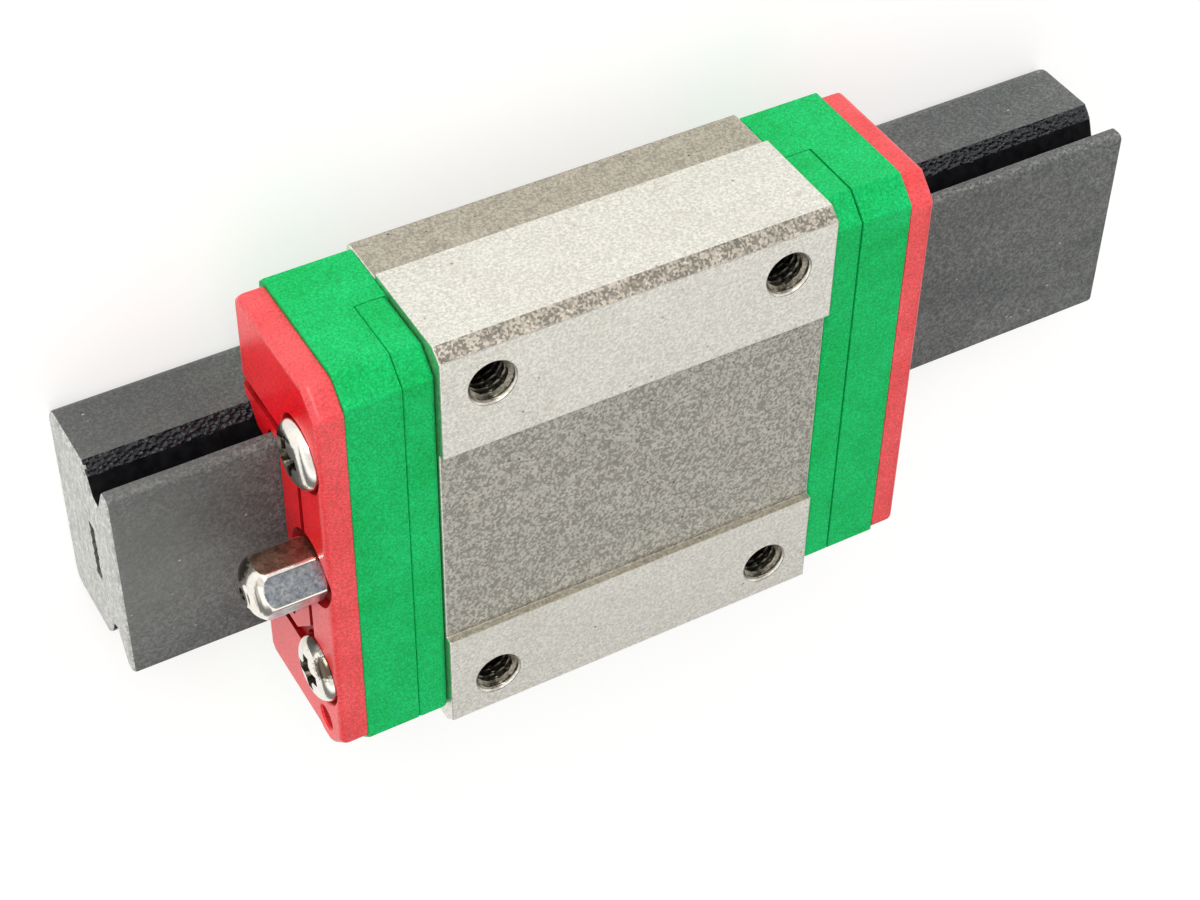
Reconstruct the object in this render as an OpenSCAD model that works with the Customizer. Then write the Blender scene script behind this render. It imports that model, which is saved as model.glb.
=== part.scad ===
// Miniature linear guide carriage on its plastic transport rail.
// +X runs along the rail to the grease nipple, +Z leaves the mounting face.
// The origin lies on the rail's seat plane, on the centreline, at the middle of the carriage.

/* [Block] */
// Length of the steel block along the rail
block_l = 26.7; // [26.2:0.1:27.5]
// Width of the steel block
block_w = 32; // [31.8:0.1:33]
// Height of the mounting face above the rail's seat
block_top = 16; // [15.9:0.1:16.5]
// Gap between the block's foot and the rail's seat
block_foot = 4; // [3.6:0.1:4.2]
// Hole spacing across the rail
bolt_y = 25; // [24.6:0.1:25.4]
// Hole spacing along the rail
bolt_x = 20; // [19:0.1:20.4]
// Tapping bore of the four M3 holes
bolt_bore_d = 2.5; // [2.4:0.05:2.6]
// Depth of the four tapped holes
bolt_depth = 4; // [3:0.1:4.2]

/* [Ends] */
// Thickness of an end cap together with its return guide
cap_t = 5.7; // [5.5:0.1:6.2]
// Thickness of the return guide
guide_t = 2.15; // [1.9:0.05:2.3]
// Thickness of an end seal
seal_t = 1.8; // [1.7:0.05:2]

/* [Balls] */
// Ball diameter
ball_d = 3.175; // [3.1:0.005:3.175]
// Balls in each straight row
row_balls = 8; // [5:1:8]

/* [Rail] */
// Length of the transport rail
rail_l = 72.9; // [60:0.5:90]
// Distance from the middle of the carriage to the middle of the rail
rail_shift = -4.95; // [-6:0.05:6]

/* [Hidden] */
round_fn = 64;
fine_fn = 24;
over = 0.1;
far = 100;

// Steel block
half_l = block_l / 2;
half_w = block_w / 2;
foot_band_in = 0.45;
foot_band_top = 7.95;
foot_band_step = 0.1;
foot_round = 0.4;
top_chamfer_y = 0.75;
top_chamfer_z = 0.9;
land_inner = 7.9;
recess_depth = 0.5;
mouth_r = 1.6;
mouth_depth = 0.35;
drill_point = 0.7;
slot_half = 8.15;
slot_top = 10.6;
slot_corner = 0.8;

// Ball tracks, both in the plane z = track_z
track_z = 7;
load_y = 8.2;
return_y = 12.3;
ball_r = ball_d / 2;
race_r = ball_r + 0.0625;
turn_r = (return_y - load_y) / 2;
turn_y = (return_y + load_y) / 2;
turn_tube_r = 1.7;
tube_r = 1.95;
tube_hole_r = 2;
turn_ball_angle = 52;
row_gap = 0.03;
turn_ball_x = half_l + turn_r * cos(turn_ball_angle);
turn_ball_rise = turn_r * (1 - sin(turn_ball_angle));
row_end = turn_ball_x - sqrt(pow(ball_d + row_gap, 2) - pow(turn_ball_rise, 2));

// Retainer wires
wire_r = 0.3;
wire_hole_r = 0.33;
wire_y = 6.05;
wire_z = 7.2;
wire_hook_x = half_l + 4.8;
wire_hook_y = 9.6;
wire_bend = 0.7;

// End caps, return guides and seals
cap_in = half_l;
cap_out = half_l + cap_t;
guide_out = half_l + guide_t;
seal_out = cap_out + seal_t;
cap_half_w = 15.6;
cap_top = 15.6;
cap_foot = 4.2;
cap_chamfer = 1.55;
cap_foot_chamfer = 0.6;
cap_open_half = 7.9;
cap_open_top = 10.4;
guide_foot = 9.5;
guide_edge = 0.5;
guide_post_r = 0.38;
guide_post_foot = 5.4;
seal_half_w = 15.3;
seal_foot = 4.5;
seal_gap = 0.15;
seal_edge = 0.35;
lip_half = 8.3;
lip_top = 12;
lip_corner = 2.2;
lip_groove = 0.5;
lip_groove_side = 0.9;
lip_depth = 0.4;
lip_tongue = 0.75;
bump_r = 1.5;
bump_out = 0.25;
dimple_y = 13.4;
dimple_z = 13.3;

// Screws, M2.5 with a pan head
screw_y = 9.2;
screw_z = 12.8;
screw_r = 1.25;
screw_clear_r = 1.4;
screw_l = 10;
screw_head_r = 2.25;
screw_head_t = 1.55;
screw_head_round = 0.7;
screw_wing_l = 2.7;
screw_wing_w = 0.75;
screw_wing_deep = 0.9;
screw_pocket_r = 2.5;
screw_pocket_depth = 0.75;
screw_seat_x = seal_out - screw_pocket_depth;

// Grease nipple and the port that it screws into
port_z = 13;
port_r = 1.5;
port_end_x = guide_out + 0.2;
hex_af = 3.8;
hex_base_x = seal_out - 0.15;
hex_end_x = 24.5;
nipple_tip_x = 25.3;
nipple_tip_r = 0.8;
nipple_shoulder_x = 25.05;
nipple_shoulder_r = 1.35;
nipple_pocket_r = 2.6;
nipple_bore_r = 0.8;
nipple_inlet_r = 0.42;
check_ball_r = 0.62;
check_ball_x = nipple_tip_x - 1;
inlet_wall_x = nipple_tip_x - 0.65;
spring_end_x = 20.4;
spring_wire_r = 0.09;
spring_coil_r = 0.5;
spring_turns = 6;
spring_steps = 16;
shank_bore_r = 0.45;
plug_l = 3;
plug_hex_af = 1.5;
channel_r = 0.4;
channel_x = guide_out + 0.25;
channel_y = 11.4;
channel_z = 14.75;

// Transport rail
rail_half_w = 7.4;
rail_h = 9.5;
rail_foot_round = 1.05;
rail_top_edge = 0.25;
groove_foot_z = 5.4;
groove_knee_y = 6.6;
groove_knee_z = 6.1;
groove_deep_y = 5.4;
groove_deep_z = 6.6;
groove_back_y = 5.2;
groove_back_z = 7.4;
lip_foot_y = 7.2;
lip_foot_z = 8.4;
end_slot_w = 4.5;
end_slot_h = 1.4;
end_slot_z = 5.5;
end_slot_deep = 3;

green = [0.1, 0.7, 0.33];
red = [0.86, 0.16, 0.2];
steel = [0.8, 0.79, 0.76];
nickel = [0.78, 0.76, 0.72];
black = [0.2, 0.21, 0.21];

// Extrudes a profile drawn in (y, z) from x0 to x1
module along_x(x0, x1) {
    translate([x0, 0, 0]) rotate([90, 0, 90]) linear_extrude(x1 - x0) children();
}

// A rod of radius r from x0 to x1 on the line (y, z)
module rod_x(x0, x1, y, z, r) {
    translate([x0, y, z]) rotate([0, 90, 0]) cylinder(h = x1 - x0, r = r, $fn = round_fn);
}

module both_sides() {
    children();
    mirror([0, 1, 0]) children();
}

// Turns a piece made for the nipple end round to the other end
module at_rear() {
    mirror([1, 0, 0]) children();
}

// Outline of a cap or seal: chamfered top corners and cut foot corners
module end_outline(half, top, foot, chamfer, foot_chamfer) {
    polygon([
        [-half + foot_chamfer, foot], [half - foot_chamfer, foot], [half, foot + foot_chamfer],
        [half, top - chamfer], [half - chamfer, top], [-half + chamfer, top],
        [-half, top - chamfer], [-half, foot + foot_chamfer]
    ]);
}

// The rail's section, grown by gap; tongue moves the groove's floor outwards
module rail_section(gap, tongue) {
    half = rail_half_w + gap;
    corner = rail_foot_round;
    polygon([
        [-half + corner, -gap], [half - corner, -gap], [half, corner - gap],
        [half, groove_foot_z + gap / 2], [groove_knee_y + gap, groove_knee_z],
        [groove_deep_y + tongue + gap, groove_deep_z - gap],
        [groove_back_y + tongue + gap, groove_back_z + gap / 2], [lip_foot_y + gap / 2, lip_foot_z - gap],
        [half, lip_foot_z + 0.1 - gap], [half, rail_h + gap - rail_top_edge],
        [half - rail_top_edge, rail_h + gap], [rail_top_edge - half, rail_h + gap],
        [-half, rail_h + gap - rail_top_edge], [-half, lip_foot_z + 0.1 - gap],
        [-lip_foot_y - gap / 2, lip_foot_z - gap], [-groove_back_y - tongue - gap, groove_back_z + gap / 2],
        [-groove_deep_y - tongue - gap, groove_deep_z - gap], [-groove_knee_y - gap, groove_knee_z],
        [-half, groove_foot_z + gap / 2], [-half, corner - gap]
    ]);
    for (side = [-1, 1]) translate([side * (half - corner), corner - gap]) circle(r = corner, $fn = round_fn);
}

module block_section() {
    band = half_w - foot_band_in;
    polygon([
        [-band + foot_round, block_foot], [band - foot_round, block_foot], [band, block_foot + foot_round],
        [band, foot_band_top - foot_band_step], [half_w, foot_band_top],
        [half_w, block_top - top_chamfer_z], [half_w - top_chamfer_y, block_top],
        [land_inner, block_top], [land_inner, block_top - recess_depth],
        [-land_inner, block_top - recess_depth], [-land_inner, block_top],
        [-half_w + top_chamfer_y, block_top], [-half_w, block_top - top_chamfer_z],
        [-half_w, foot_band_top], [-band, foot_band_top - foot_band_step], [-band, block_foot + foot_round]
    ]);
    for (side = [-1, 1]) {
        translate([side * (band - foot_round), block_foot + foot_round]) circle(r = foot_round, $fn = round_fn);
    }
}

module slot_section() {
    polygon([
        [-slot_half, block_foot - 1], [slot_half, block_foot - 1], [slot_half, slot_top - slot_corner],
        [slot_half - slot_corner, slot_top], [-slot_half + slot_corner, slot_top],
        [-slot_half, slot_top - slot_corner]
    ]);
}

module tapped_hole() {
    bore_r = bolt_bore_d / 2;
    translate([0, 0, -bolt_depth]) cylinder(h = bolt_depth + over, r = bore_r, $fn = round_fn);
    translate([0, 0, -bolt_depth - drill_point]) {
        cylinder(h = drill_point, r1 = 0.05, r2 = bore_r, $fn = round_fn);
    }
    translate([0, 0, -mouth_depth]) cylinder(h = mouth_depth, r1 = bore_r, r2 = mouth_r, $fn = round_fn);
    cylinder(h = over, r = mouth_r, $fn = round_fn);
}

module steel_block() {
    color(steel) difference() {
        along_x(-half_l, half_l) block_section();
        along_x(-half_l - over, half_l + over) slot_section();
        both_sides() {
            rod_x(-half_l - over, half_l + over, load_y, track_z, race_r);
            rod_x(-half_l - over, half_l + over, return_y, track_z, tube_hole_r);
        }
        for (x = [-bolt_x / 2, bolt_x / 2], y = [-bolt_y / 2, bolt_y / 2]) {
            translate([x, y, block_top]) tapped_hole();
        }
        for (y = [-screw_y, screw_y]) {
            rod_x(screw_seat_x - screw_l, half_l + over, y, screw_z, screw_r);
            at_rear() rod_x(screw_seat_x - screw_l, half_l + over, y, screw_z, screw_r);
        }
    }
}

// The half ring in which the balls turn from the loaded row to the return row
module turn_channel() {
    translate([cap_in, turn_y, track_z]) rotate([0, 0, -90]) {
        rotate_extrude(angle = 180, $fn = round_fn) translate([turn_r, 0]) circle(r = turn_tube_r, $fn = round_fn);
    }
}

module end_openings() {
    along_x(cap_in - over, cap_out + over) polygon([
        [-cap_open_half, 0], [cap_open_half, 0], [cap_open_half, cap_open_top - slot_corner],
        [cap_open_half - slot_corner, cap_open_top], [-cap_open_half + slot_corner, cap_open_top],
        [-cap_open_half, cap_open_top - slot_corner]
    ]);
    for (y = [-screw_y, screw_y]) rod_x(cap_in - over, cap_out + over, y, screw_z, screw_clear_r);
}

module grease_channels() {
    translate([channel_x, -channel_y, channel_z]) rotate([-90, 0, 0]) {
        cylinder(h = 2 * channel_y, r = channel_r, $fn = fine_fn);
    }
    both_sides() translate([channel_x, channel_y, track_z + 1]) {
        cylinder(h = channel_z - track_z - 1, r = channel_r, $fn = fine_fn);
    }
}

module end_cap() {
    color(green) difference() {
        along_x(cap_in, cap_out) {
            end_outline(cap_half_w, cap_top, cap_foot, cap_chamfer, cap_foot_chamfer);
        }
        translate([cap_in - over, -far / 2, guide_foot]) cube([guide_t + over, far, far]);
        end_openings();
        both_sides() {
            turn_channel();
            translate([cap_in, turn_y, guide_post_foot]) {
                cylinder(h = guide_foot - guide_post_foot, r = guide_post_r, $fn = round_fn);
            }
        }
        rod_x(port_end_x, cap_out + over, 0, port_z, port_r);
        grease_channels();
        both_sides() {
            rod_x(cap_in - over, wire_hook_x, wire_y, wire_z, wire_hole_r);
            translate([wire_hook_x, wire_y, wire_z]) rotate([-90, 0, 0]) {
                cylinder(h = wire_hook_y - wire_y, r = wire_hole_r, $fn = fine_fn);
            }
        }
    }
}

module return_guide() {
    color(green) {
        difference() {
            along_x(cap_in, guide_out) {
                end_outline(cap_half_w, cap_top, guide_foot, cap_chamfer, 0);
            }
            end_openings();
            difference() {
                along_x(cap_in - over, cap_in + guide_edge) {
                    end_outline(half_w, half_w, guide_foot - 1, cap_chamfer, 0);
                }
                along_x(cap_in - over, cap_in + guide_edge) {
                    end_outline(cap_half_w - guide_edge, cap_top - guide_edge, guide_foot - 1, cap_chamfer, 0);
                }
            }
        }
        both_sides() intersection() {
            translate([cap_in, turn_y, guide_post_foot]) {
                cylinder(h = guide_foot - guide_post_foot, r = guide_post_r, $fn = round_fn);
            }
            translate([cap_in, 0, 0]) cube([guide_t, cap_half_w, far]);
        }
    }
}

// Outline round the rail opening with cut top corners
module lip_outline(half, top, corner) {
    polygon([
        [-half, 0], [half, 0], [half, top - corner], [half - corner, top], [corner - half, top],
        [-half, top - corner]
    ]);
}

// The seal's front face: sunk ground round the screws, the nipple and the rail opening
module seal_relief() {
    for (y = [-screw_y, screw_y]) {
        rod_x(screw_seat_x, seal_out + over, y, screw_z, screw_pocket_r);
    }
    rod_x(hex_base_x, seal_out + over, 0, port_z, nipple_pocket_r);
    along_x(seal_out - lip_depth, seal_out + over) difference() {
        lip_outline(lip_half + lip_groove_side, lip_top + lip_groove, lip_corner);
        lip_outline(lip_half, lip_top, lip_corner);
    }
    translate([seal_out, dimple_y, dimple_z]) rotate([0, 90, 0]) {
        cylinder(h = 1, r = 0.6, center = true, $fn = fine_fn);
    }
}

module end_seal() {
    color(red) difference() {
        union() {
            along_x(cap_out, seal_out - seal_edge) {
                end_outline(seal_half_w, cap_top, seal_foot, cap_chamfer, cap_foot_chamfer);
                translate([seal_half_w - bump_r + bump_out, dimple_z]) circle(r = bump_r, $fn = round_fn);
            }
            along_x(seal_out - seal_edge, seal_out) {
                end_outline(seal_half_w - seal_edge / 2, cap_top - seal_edge / 2, seal_foot + seal_edge / 2,
                    cap_chamfer, cap_foot_chamfer);
            }
        }
        along_x(cap_out - over, seal_out + over) rail_section(seal_gap, lip_tongue);
        translate([cap_out - over, -rail_half_w - seal_gap, 0]) {
            cube([seal_t + 2 * over, 2 * (rail_half_w + seal_gap), groove_foot_z]);
        }
        for (y = [-screw_y, screw_y]) rod_x(cap_out - over, seal_out + over, y, screw_z, screw_clear_r);
        rod_x(cap_out - over, seal_out + over, 0, port_z, port_r);
        seal_relief();
    }
}

module cap_screw(y) {
    color(nickel) difference() {
        union() {
            rod_x(screw_seat_x - screw_l, screw_seat_x + over, y, screw_z, screw_r);
            translate([screw_seat_x, y, screw_z]) rotate([90, 0, 90]) rotate_extrude($fn = round_fn) {
                square([screw_head_r, screw_head_t - screw_head_round]);
                square([screw_head_r - screw_head_round, screw_head_t]);
                translate([screw_head_r - screw_head_round, screw_head_t - screw_head_round]) {
                    circle(r = screw_head_round, $fn = round_fn);
                }
            }
        }
        translate([screw_seat_x + screw_head_t, y, screw_z]) {
            cube([2 * screw_wing_deep, screw_wing_w, screw_wing_l], center = true);
            cube([2 * screw_wing_deep, screw_wing_l, screw_wing_w], center = true);
        }
    }
}

module return_tube() {
    color("white") difference() {
        rod_x(-half_l, half_l, return_y, track_z, tube_r);
        rod_x(-half_l - over, half_l + over, return_y, track_z, turn_tube_r);
    }
}

module ball_circuit() {
    color("silver") {
        for (i = [0 : row_balls - 1], y = [load_y, return_y]) {
            translate([-row_end + i * 2 * row_end / (row_balls - 1), y, track_z]) sphere(d = ball_d, $fn = round_fn);
        }
        for (end = [-1, 1], swing = [-turn_ball_angle, turn_ball_angle]) {
            translate([
                end * turn_ball_x,
                turn_y + turn_r * sin(swing),
                track_z
            ]) sphere(d = ball_d, $fn = round_fn);
        }
    }
}

// A straight wire with its ends bent out into the caps
module retainer_wire() {
    color("silver") {
        rod_x(-wire_hook_x + wire_bend, wire_hook_x - wire_bend, wire_y, wire_z, wire_r);
        for (end = [-1, 1]) {
            translate([end * (wire_hook_x - wire_bend), wire_y + wire_bend, wire_z]) {
                rotate([0, 0, end > 0 ? -90 : 180]) rotate_extrude(angle = 90, $fn = round_fn) {
                    translate([wire_bend, 0]) circle(r = wire_r, $fn = fine_fn);
                }
            }
            translate([end * wire_hook_x, wire_y + wire_bend, wire_z]) rotate([-90, 0, 0]) {
                cylinder(h = wire_hook_y - wire_y - wire_bend, r = wire_r, $fn = fine_fn);
            }
        }
    }
}

module nipple_body() {
    corner_r = hex_af / 2 / cos(30);
    color(nickel) difference() {
        union() {
            rod_x(port_end_x + 0.05, hex_base_x + over, 0, port_z, port_r);
            intersection() {
                translate([hex_base_x, 0, port_z]) rotate([90, 0, 90]) rotate([0, 0, 30]) {
                    cylinder(h = nipple_tip_x - hex_base_x, r = corner_r, $fn = 6);
                }
                translate([hex_base_x, 0, port_z]) rotate([0, 90, 0]) rotate_extrude($fn = round_fn) {
                    polygon([
                        [0, 0], [corner_r, 0], [corner_r, hex_end_x - hex_base_x - 0.4],
                        [hex_af / 2, hex_end_x - hex_base_x],
                        [nipple_shoulder_r, nipple_shoulder_x - hex_base_x],
                        [nipple_tip_r, nipple_tip_x - hex_base_x], [0, nipple_tip_x - hex_base_x]
                    ]);
                }
            }
        }
        rod_x(spring_end_x, inlet_wall_x, 0, port_z, nipple_bore_r);
        rod_x(spring_end_x, nipple_tip_x + over, 0, port_z, nipple_inlet_r);
        rod_x(port_end_x - over, spring_end_x + over, 0, port_z, shank_bore_r);
    }
}

module nipple_check_ball() {
    color("silver") translate([check_ball_x - check_ball_r + 0.05, 0, port_z]) sphere(r = check_ball_r, $fn = round_fn);
}

// Open-coil spring between the step in the bore and the ball
module nipple_spring() {
    spring_l = check_ball_x - 2 * check_ball_r - spring_end_x - spring_wire_r;
    color("gray") translate([spring_end_x + spring_wire_r, 0, port_z]) rotate([0, 90, 0]) {
        linear_extrude(spring_l, twist = -360 * spring_turns, slices = spring_steps * spring_turns) {
            translate([spring_coil_r, 0]) circle(r = spring_wire_r, $fn = 8);
        }
    }
}

module rear_port_plug() {
    color(nickel) difference() {
        at_rear() rod_x(cap_out - plug_l, cap_out, 0, port_z, port_r);
        translate([-cap_out - over, 0, port_z]) rotate([0, 90, 0]) {
            cylinder(h = 1.3, r = plug_hex_af / 2 / cos(30), $fn = 6);
        }
    }
}

module dummy_rail() {
    color(black) difference() {
        along_x(rail_shift - rail_l / 2, rail_shift + rail_l / 2) rail_section(0, 0);
        translate([rail_shift + rail_l / 2 - end_slot_deep, -end_slot_w / 2, end_slot_z - end_slot_h / 2]) {
            cube([end_slot_deep + over, end_slot_w, end_slot_h]);
        }
    }
}

steel_block();
end_cap();  // front_end_cap
at_rear() end_cap();  // rear_end_cap
return_guide();  // front_return_guide
at_rear() return_guide();  // rear_return_guide
end_seal();  // front_end_seal
at_rear() end_seal();  // rear_end_seal
cap_screw(screw_y);  // front_left_screw
cap_screw(-screw_y);  // front_right_screw
at_rear() cap_screw(screw_y);  // rear_left_screw
at_rear() cap_screw(-screw_y);  // rear_right_screw
return_tube();  // left_return_tube
mirror([0, 1, 0]) return_tube();  // right_return_tube
ball_circuit();  // left_ball_circuit
mirror([0, 1, 0]) ball_circuit();  // right_ball_circuit
retainer_wire();  // left_retainer_wire
mirror([0, 1, 0]) retainer_wire();  // right_retainer_wire
nipple_body();
nipple_check_ball();
nipple_spring();
rear_port_plug();
dummy_rail();
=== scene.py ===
"""Looks of a miniature linear guide carriage on its plastic transport rail.

Lengths are millimetres, in the CAD model's own frame, until a piece is made into a Blender object.
"""

import math

import bmesh
import bpy
from mathutils import Matrix, Vector, noise


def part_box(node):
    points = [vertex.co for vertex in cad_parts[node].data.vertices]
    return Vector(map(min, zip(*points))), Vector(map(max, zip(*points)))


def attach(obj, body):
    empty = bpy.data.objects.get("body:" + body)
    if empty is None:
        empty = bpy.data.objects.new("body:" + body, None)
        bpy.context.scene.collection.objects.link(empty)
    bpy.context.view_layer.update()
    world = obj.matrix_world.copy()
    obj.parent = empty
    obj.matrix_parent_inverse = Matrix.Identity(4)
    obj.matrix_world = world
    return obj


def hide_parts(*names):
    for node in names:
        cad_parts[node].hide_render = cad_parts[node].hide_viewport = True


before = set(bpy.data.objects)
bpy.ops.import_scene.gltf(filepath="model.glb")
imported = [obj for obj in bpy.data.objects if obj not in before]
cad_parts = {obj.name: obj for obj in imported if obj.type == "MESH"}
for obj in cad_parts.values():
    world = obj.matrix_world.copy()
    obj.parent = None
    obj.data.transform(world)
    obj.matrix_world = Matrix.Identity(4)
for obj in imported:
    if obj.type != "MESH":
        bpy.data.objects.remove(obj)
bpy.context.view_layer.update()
MM = 0.001

# How the meshes are made and read
PAST = 1  # how far a cutter reaches past the surfaces that it opens
BORE_SEGMENTS = 48
HEAD_SEGMENTS = 64
CONE_SEGMENTS = 24
SHARP_ANGLE = 32
SQUARE_ON = 0.9  # the least part of a face's normal along an axis that it counts as facing


def box_mm(node):
    """A node's lowest and highest corners in millimetres."""
    low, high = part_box(node)
    return Vector(low) / MM, Vector(high) / MM


BLOCK_LOW, BLOCK_HIGH = box_mm("steel_block")
CAP_LOW, CAP_HIGH = box_mm("front_end_cap")
GUIDE_HIGH = box_mm("front_return_guide")[1]
SEAL_LOW, SEAL_HIGH = box_mm("front_end_seal")
SCREW_LOW, SCREW_HIGH = box_mm("front_left_screw")
NIPPLE_LOW, NIPPLE_HIGH = box_mm("nipple_body")
RAIL_LOW, RAIL_HIGH = box_mm("dummy_rail")
TUBE_LOW, TUBE_HIGH = box_mm("left_return_tube")

# Steel block
HALF_L = BLOCK_HIGH.x
HALF_W = BLOCK_HIGH.y
TOP = BLOCK_HIGH.z
FOOT = BLOCK_LOW.z
FOOT_ROUND = 0.4
FOOT_BAND_Y = HALF_W - 0.45
FOOT_BAND_TOP = 7.95
LAND_INNER = 7.9
RECESS_DEPTH = 0.5
CHAMFER_Y = 0.75
CHAMFER_Z = 0.9
CHAMFER_FACE_Z = CHAMFER_Y / math.hypot(CHAMFER_Y, CHAMFER_Z)
SLOT_HALF = 8.15
SLOT_TOP = 10.6
SLOT_CORNER = 0.8
HOLE_X = 10
HOLE_Y = 12.5
HOLE_DEPTH = 4
HOLE_MOUTH_R = 1.62
THREAD_MAJOR_R = 1.52
THREAD_MINOR_R = 1.22
THREAD_PITCH = 0.5

# Ball tracks
TRACK_Z = 7
LOAD_Y = 8.2
RACE_R = 1.65
RETURN_Y = (TUBE_LOW.y + TUBE_HIGH.y) / 2
RETURN_HOLE_R = 2
BALL_R = 1.5875
TURN_TUBE_R = 1.7
TURN_R = (RETURN_Y - LOAD_Y) / 2
TURN_Y = (RETURN_Y + LOAD_Y) / 2

# Caps, guides and seals
CAP_CHAMFER = 1.55
FOOT_CUT = 0.6
CAP_OPEN_HALF = 7.9
CAP_OPEN_TOP = 10.4
GUIDE_FOOT = 9.5
SEAL_HALF_W = 15.3
SEAL_GAP = 0.15
SEAL_TONGUE = 0.75
SEAL_ROUND = 0.5
LIP_HALF = 8.3
LIP_TOP = 12
LIP_CORNER = 2.2
LIP_DEPTH = 0.4
DIMPLE_Y = 13.4
DIMPLE_Z = 13.3

# Screws and nipple
SCREW_Y = (SCREW_LOW.y + SCREW_HIGH.y) / 2
SCREW_Z = (SCREW_LOW.z + SCREW_HIGH.z) / 2
SCREW_HEAD_R = (SCREW_HIGH.y - SCREW_LOW.y) / 2
SCREW_HEAD_T = 1.55
SCREW_SHANK_R = 1.25
SCREW_HOLE_R = 1.4
SCREW_BORE_DEPTH = 3.3
SCREW_POCKET_R = 2.5
PORT_Z = 13
PORT_R = 1.5
HEX_AF = NIPPLE_HIGH.y - NIPPLE_LOW.y
HEX_BASE_X = SEAL_HIGH.x - 0.15
HEX_END_X = NIPPLE_HIGH.x - 0.8
NIPPLE_POCKET_R = 2.6
INLET_R = 0.42
CHAMBER_R = 0.8
SHANK_BORE_R = 0.45

# Rail
RAIL_HALF_W = RAIL_HIGH.y
RAIL_TOP = RAIL_HIGH.z
RAIL_FOOT_ROUND = 1.05
WALL_FOOT_Z = 5.4
KNEE_Y = 6.6
KNEE_Z = 6.1
GROOVE_LOW_Y = 5.4
GROOVE_LOW_Z = 6.6
GROOVE_HIGH_Y = 5.2
GROOVE_HIGH_Z = 7.4
GROOVE_MOUTH_Y = 7.2
GROOVE_MOUTH_Z = 8.4


# ---------------------------------------------------------------- outlines

def rounded(points, steps):
    """A closed outline from (y, z, radius) corners, with arcs where the radius isn't 0."""
    outline = []
    count = len(points)
    for i, (y, z, radius) in enumerate(points):
        here = Vector((y, z))
        if radius <= 0:
            outline.append(here)
            continue
        before = (Vector(points[i - 1][:2]) - here).normalized()
        after = (Vector(points[(i + 1) % count][:2]) - here).normalized()
        half_angle = before.angle(after) / 2
        centre = here + (before + after).normalized() * (radius / math.sin(half_angle))
        reach = radius / math.tan(half_angle)
        first = here + before * reach - centre
        last = here + after * reach - centre
        sweep = first.angle_signed(last)
        for k in range(steps + 1):
            turn = Matrix.Rotation(-sweep * k / steps, 2)
            outline.append(centre + turn @ first)
    return outline


def mirrored(half):
    """A whole outline from the corners of its +Y half."""
    return half + [(-y, z, radius) for y, z, radius in reversed(half)]


def inset(corners, distance):
    """Outline corners moved inwards; outer corners lose that much radius and inner ones gain it."""
    least_cosine = 0.4
    least_radius = 0.015
    moved = []
    count = len(corners)
    for i, (y, z, radius) in enumerate(corners):
        here = Vector((y, z))
        before = (here - Vector(corners[i - 1][:2])).normalized()
        after = (Vector(corners[(i + 1) % count][:2]) - here).normalized()
        n1 = Vector((-before.y, before.x))
        n2 = Vector((-after.y, after.x))
        middle = (n1 + n2).normalized()
        there = here + middle * (distance / max(middle.dot(n1), least_cosine))
        if radius > 0:
            outer = before.x * after.y - before.y * after.x > 0
            radius = max(radius + (-distance if outer else distance), least_radius)
        moved.append((there.x, there.y, radius))
    return moved


def round_end(x, radius, direction, steps=4):
    """Sections (x, inset) that round a prism's end at x; direction is +1 at its high end."""
    sections = []
    for k in range(steps + 1):
        angle = math.pi / 2 * k / steps
        along = radius * (1 - math.sin(angle))
        sections.append((x - direction * along, radius * (1 - math.cos(angle))))
    return sections if direction > 0 else sections[::-1]


# ---------------------------------------------------------------- meshes

def prism(corners, sections, steps=4):
    """A closed bmesh: (y, z, radius) corners carried along X through sections (x, inset)."""
    mesh = bmesh.new()
    rings = []
    for x, distance in sections:
        outline = rounded(inset(corners, distance), steps)
        rings.append([mesh.verts.new((x, p.x, p.y)) for p in outline])
    count = len(rings[0])
    for ring, following in zip(rings, rings[1:]):
        for i in range(count):
            j = (i + 1) % count
            mesh.faces.new((ring[i], ring[j], following[j], following[i]))
    mesh.faces.new(rings[0][::-1])
    mesh.faces.new(rings[-1])
    bmesh.ops.recalc_face_normals(mesh, faces=mesh.faces)
    return mesh


def lathe(profile, segments):
    """A closed bmesh turned about X from (x, radius) points; both ends lie on the axis."""
    mesh = bmesh.new()
    first = mesh.verts.new((profile[0][0], 0, 0))
    last = mesh.verts.new((profile[-1][0], 0, 0))
    rings = []
    for x, radius in profile[1:-1]:
        ring = []
        for i in range(segments):
            angle = 2 * math.pi * i / segments
            ring.append(mesh.verts.new((x, radius * math.cos(angle), radius * math.sin(angle))))
        rings.append(ring)
    for i in range(segments):
        j = (i + 1) % segments
        mesh.faces.new((first, rings[0][i], rings[0][j]))
        mesh.faces.new((last, rings[-1][j], rings[-1][i]))
        for ring, following in zip(rings, rings[1:]):
            mesh.faces.new((ring[i], following[i], following[j], ring[j]))
    bmesh.ops.recalc_face_normals(mesh, faces=mesh.faces)
    return mesh


def lathe_at(profile, y, z):
    """A turned shape on the line (y, z) along X."""
    mesh = lathe(profile, BORE_SEGMENTS)
    bmesh.ops.translate(mesh, verts=mesh.verts, vec=(0, y, z))
    return mesh


def rod(x0, x1, y, z, radius):
    """A cylinder along X."""
    return lathe_at([(x0, 0), (x0, radius), (x1, radius), (x1, 0)], y, z)


def block(low, high):
    """A box between two corners."""
    mesh = bmesh.new()
    bmesh.ops.create_cube(mesh, size=1)
    size = Vector(high) - Vector(low)
    bmesh.ops.scale(mesh, verts=mesh.verts, vec=size)
    bmesh.ops.translate(mesh, verts=mesh.verts, vec=Vector(low) + size / 2)
    return mesh


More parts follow.
